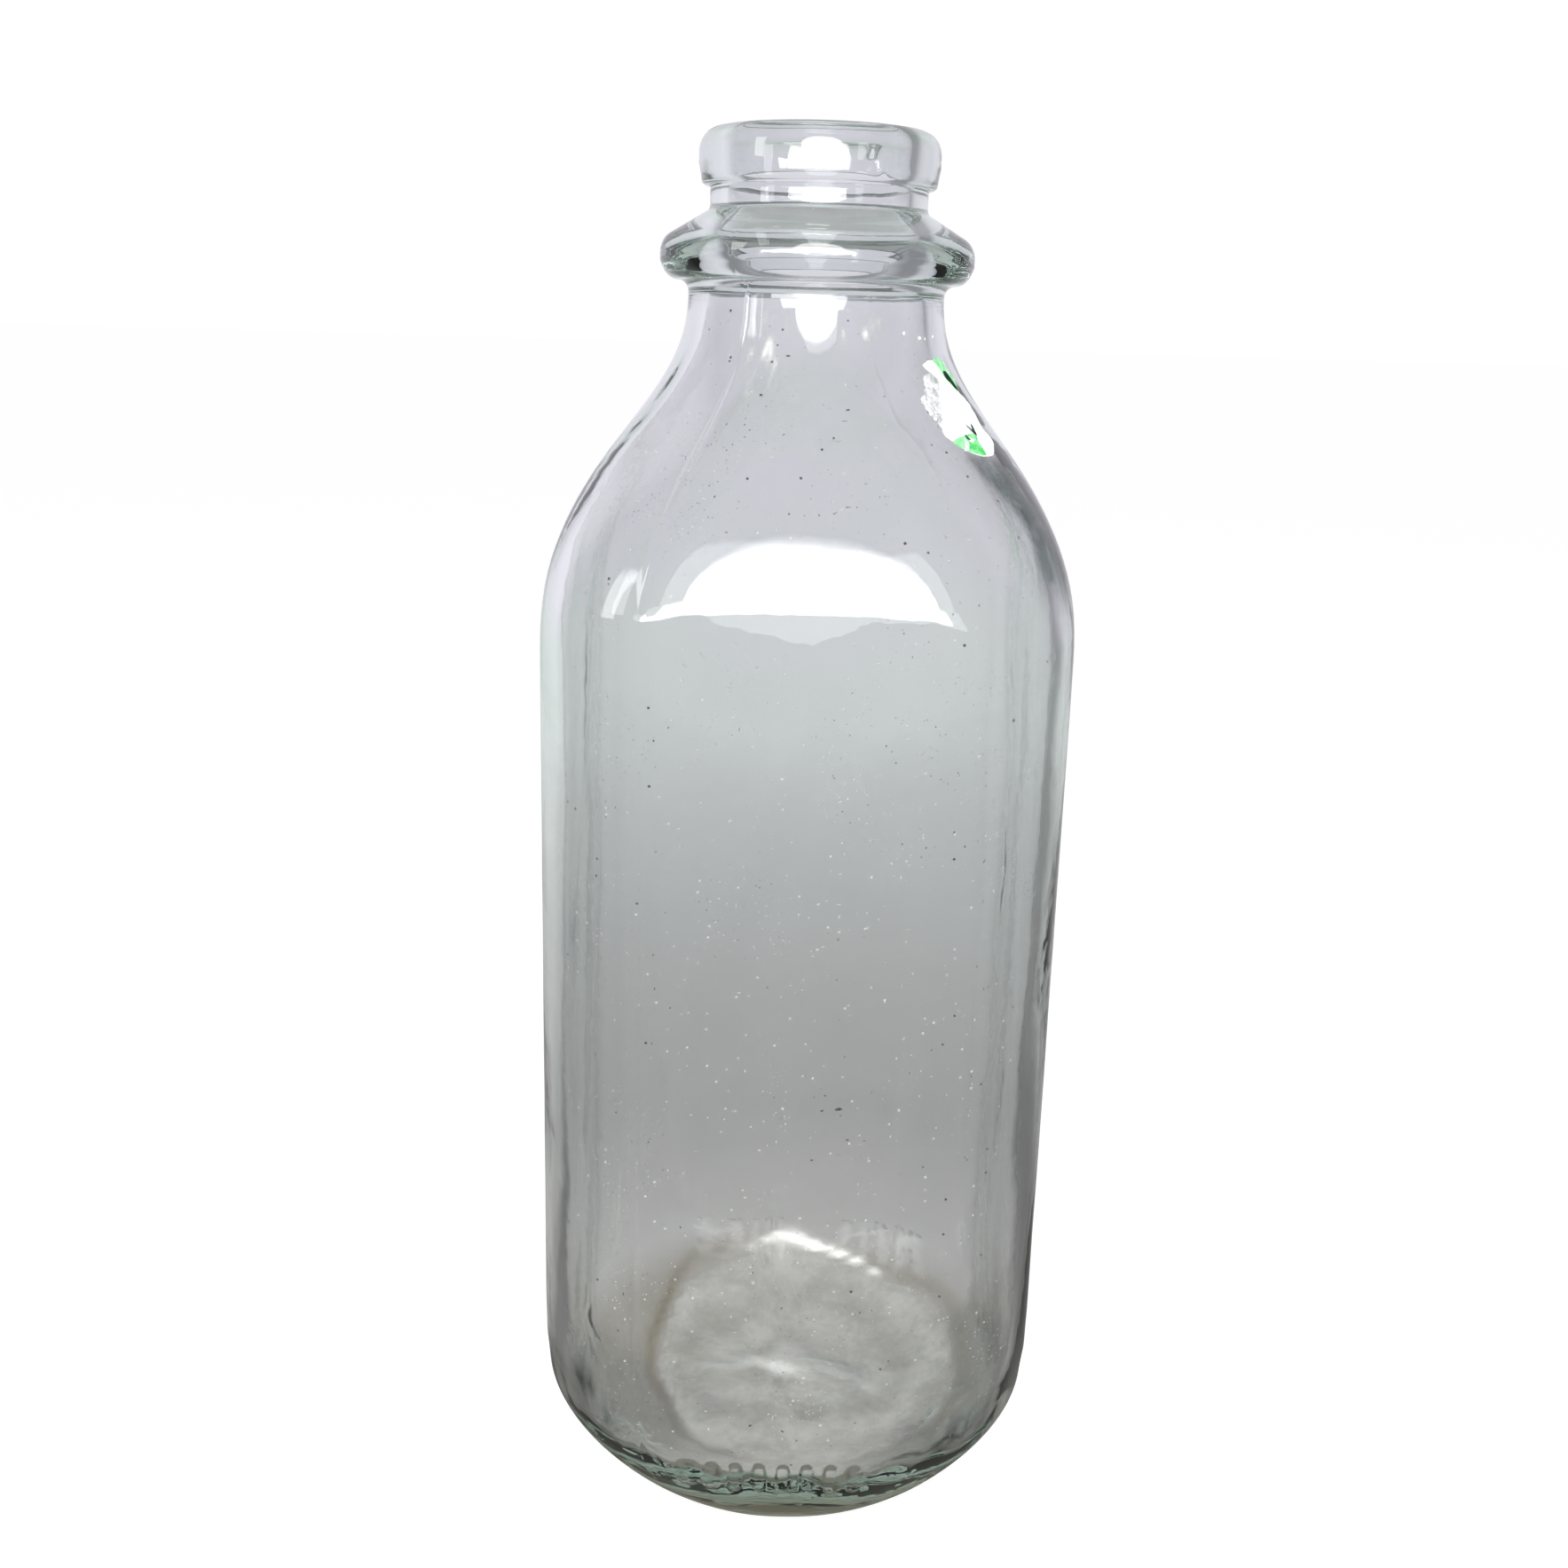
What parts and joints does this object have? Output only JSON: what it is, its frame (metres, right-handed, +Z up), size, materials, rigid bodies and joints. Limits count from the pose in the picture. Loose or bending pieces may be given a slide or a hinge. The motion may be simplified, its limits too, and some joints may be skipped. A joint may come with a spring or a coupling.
{
  "type": "square glass milk bottle",
  "caption": "Clear square milk bottle with rounded corners, S-curved shoulder, carrying collar, snap-cap lip and the remains of a torn paper sticker.",
  "frame": {"origin": "centre of the flat ring that the bottle stands on", "axes": "+Z up along the bottle's axis, -Y towards the front, which has the sticker on its right shoulder"},
  "size_m": [0.106, 0.1062, 0.295],
  "materials": {
    "clear_glass": "clear soda-lime glass, pale green where it is thick, hazed by use",
    "white_paper": "torn, matt, fibrous paper",
    "green_print": "printed paper face, slightly glossy, torn at its edges"
  },
  "bodies": {
    "root": {"bottle_glass": "clear_glass", "sticker_paper": "white_paper", "sticker_print_top": "green_print", "sticker_print_bottom": "green_print"}
  },
  "joints": []
}
